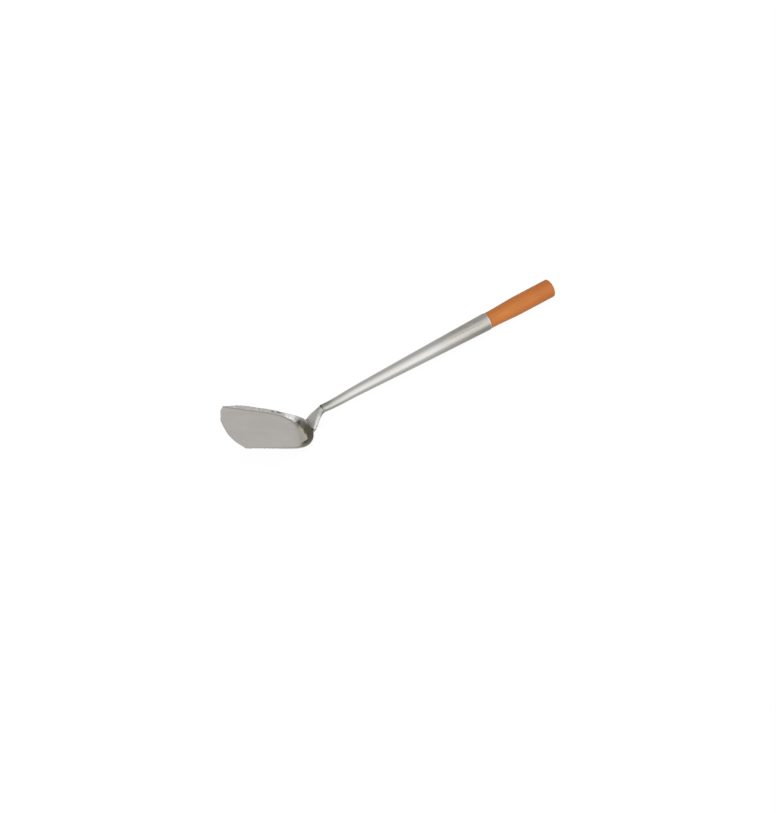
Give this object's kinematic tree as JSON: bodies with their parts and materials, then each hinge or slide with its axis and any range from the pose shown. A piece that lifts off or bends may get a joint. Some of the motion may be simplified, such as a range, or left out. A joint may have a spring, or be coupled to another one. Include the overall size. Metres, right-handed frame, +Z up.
{
  "type": "cooking spatula",
  "caption": "Wok spatula: a shallow pressed steel blade with an upturned rim, a steep channel neck, a long tapered steel tube and a turned wooden grip.",
  "frame": {"origin": "Middle of the bounding box in plan, on the surface that the tool lies on", "axes": "+X runs from the blade towards the grip, +Z is up, and XZ is the mirror plane. The tool lies on the blade's heel and the end of its grip, with the front of the blade raised."},
  "size_m": [0.4732, 0.117, 0.0667],
  "materials": {
    "blade_steel": "satin rolled sheet, polished rim",
    "neck_steel": "pressed, satin",
    "weld_bead": "as welded, dulled by heat",
    "tube_steel": "polished along its length",
    "grip_wood": "turned, thin clear varnish",
    "nail_steel": "plain domed head"
  },
  "bodies": {
    "root": {"blade": "blade_steel", "neck": "neck_steel", "neck_weld": "weld_bead", "handle_tube": "tube_steel", "tube_weld": "weld_bead", "wood_grip": "grip_wood", "grip_nail": "nail_steel"}
  },
  "joints": []
}
